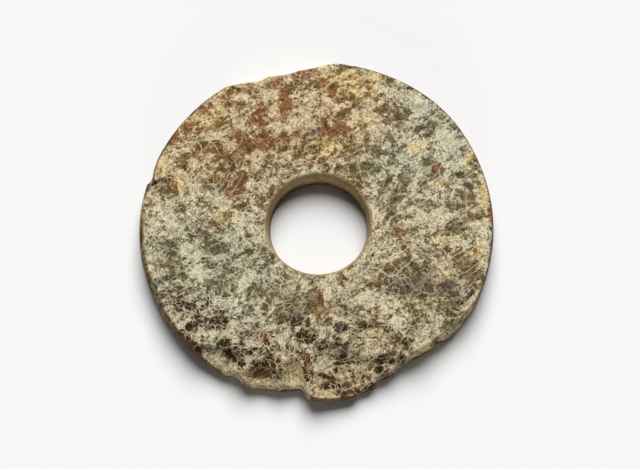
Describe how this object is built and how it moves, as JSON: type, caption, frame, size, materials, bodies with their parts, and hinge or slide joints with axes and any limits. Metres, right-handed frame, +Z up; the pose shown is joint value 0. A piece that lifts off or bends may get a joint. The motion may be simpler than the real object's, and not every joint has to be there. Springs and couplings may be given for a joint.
{
  "type": "jade bi disc",
  "caption": "Flat round disc of mottled jade with a wide drilled hole through its middle and a rim broken and flaked along one side.",
  "frame": {"origin": "on the flat underside, at the centre of the rim", "axes": "+Z up, along the hole; the broken and flaked stretch of rim faces -Y"},
  "size_m": [0.1916, 0.1893, 0.0139],
  "materials": {
    "jade": "worn satin polish, mottled cream and dark olive, matte where broken"
  },
  "bodies": {
    "root": {"bi_disc": "jade"}
  },
  "joints": []
}
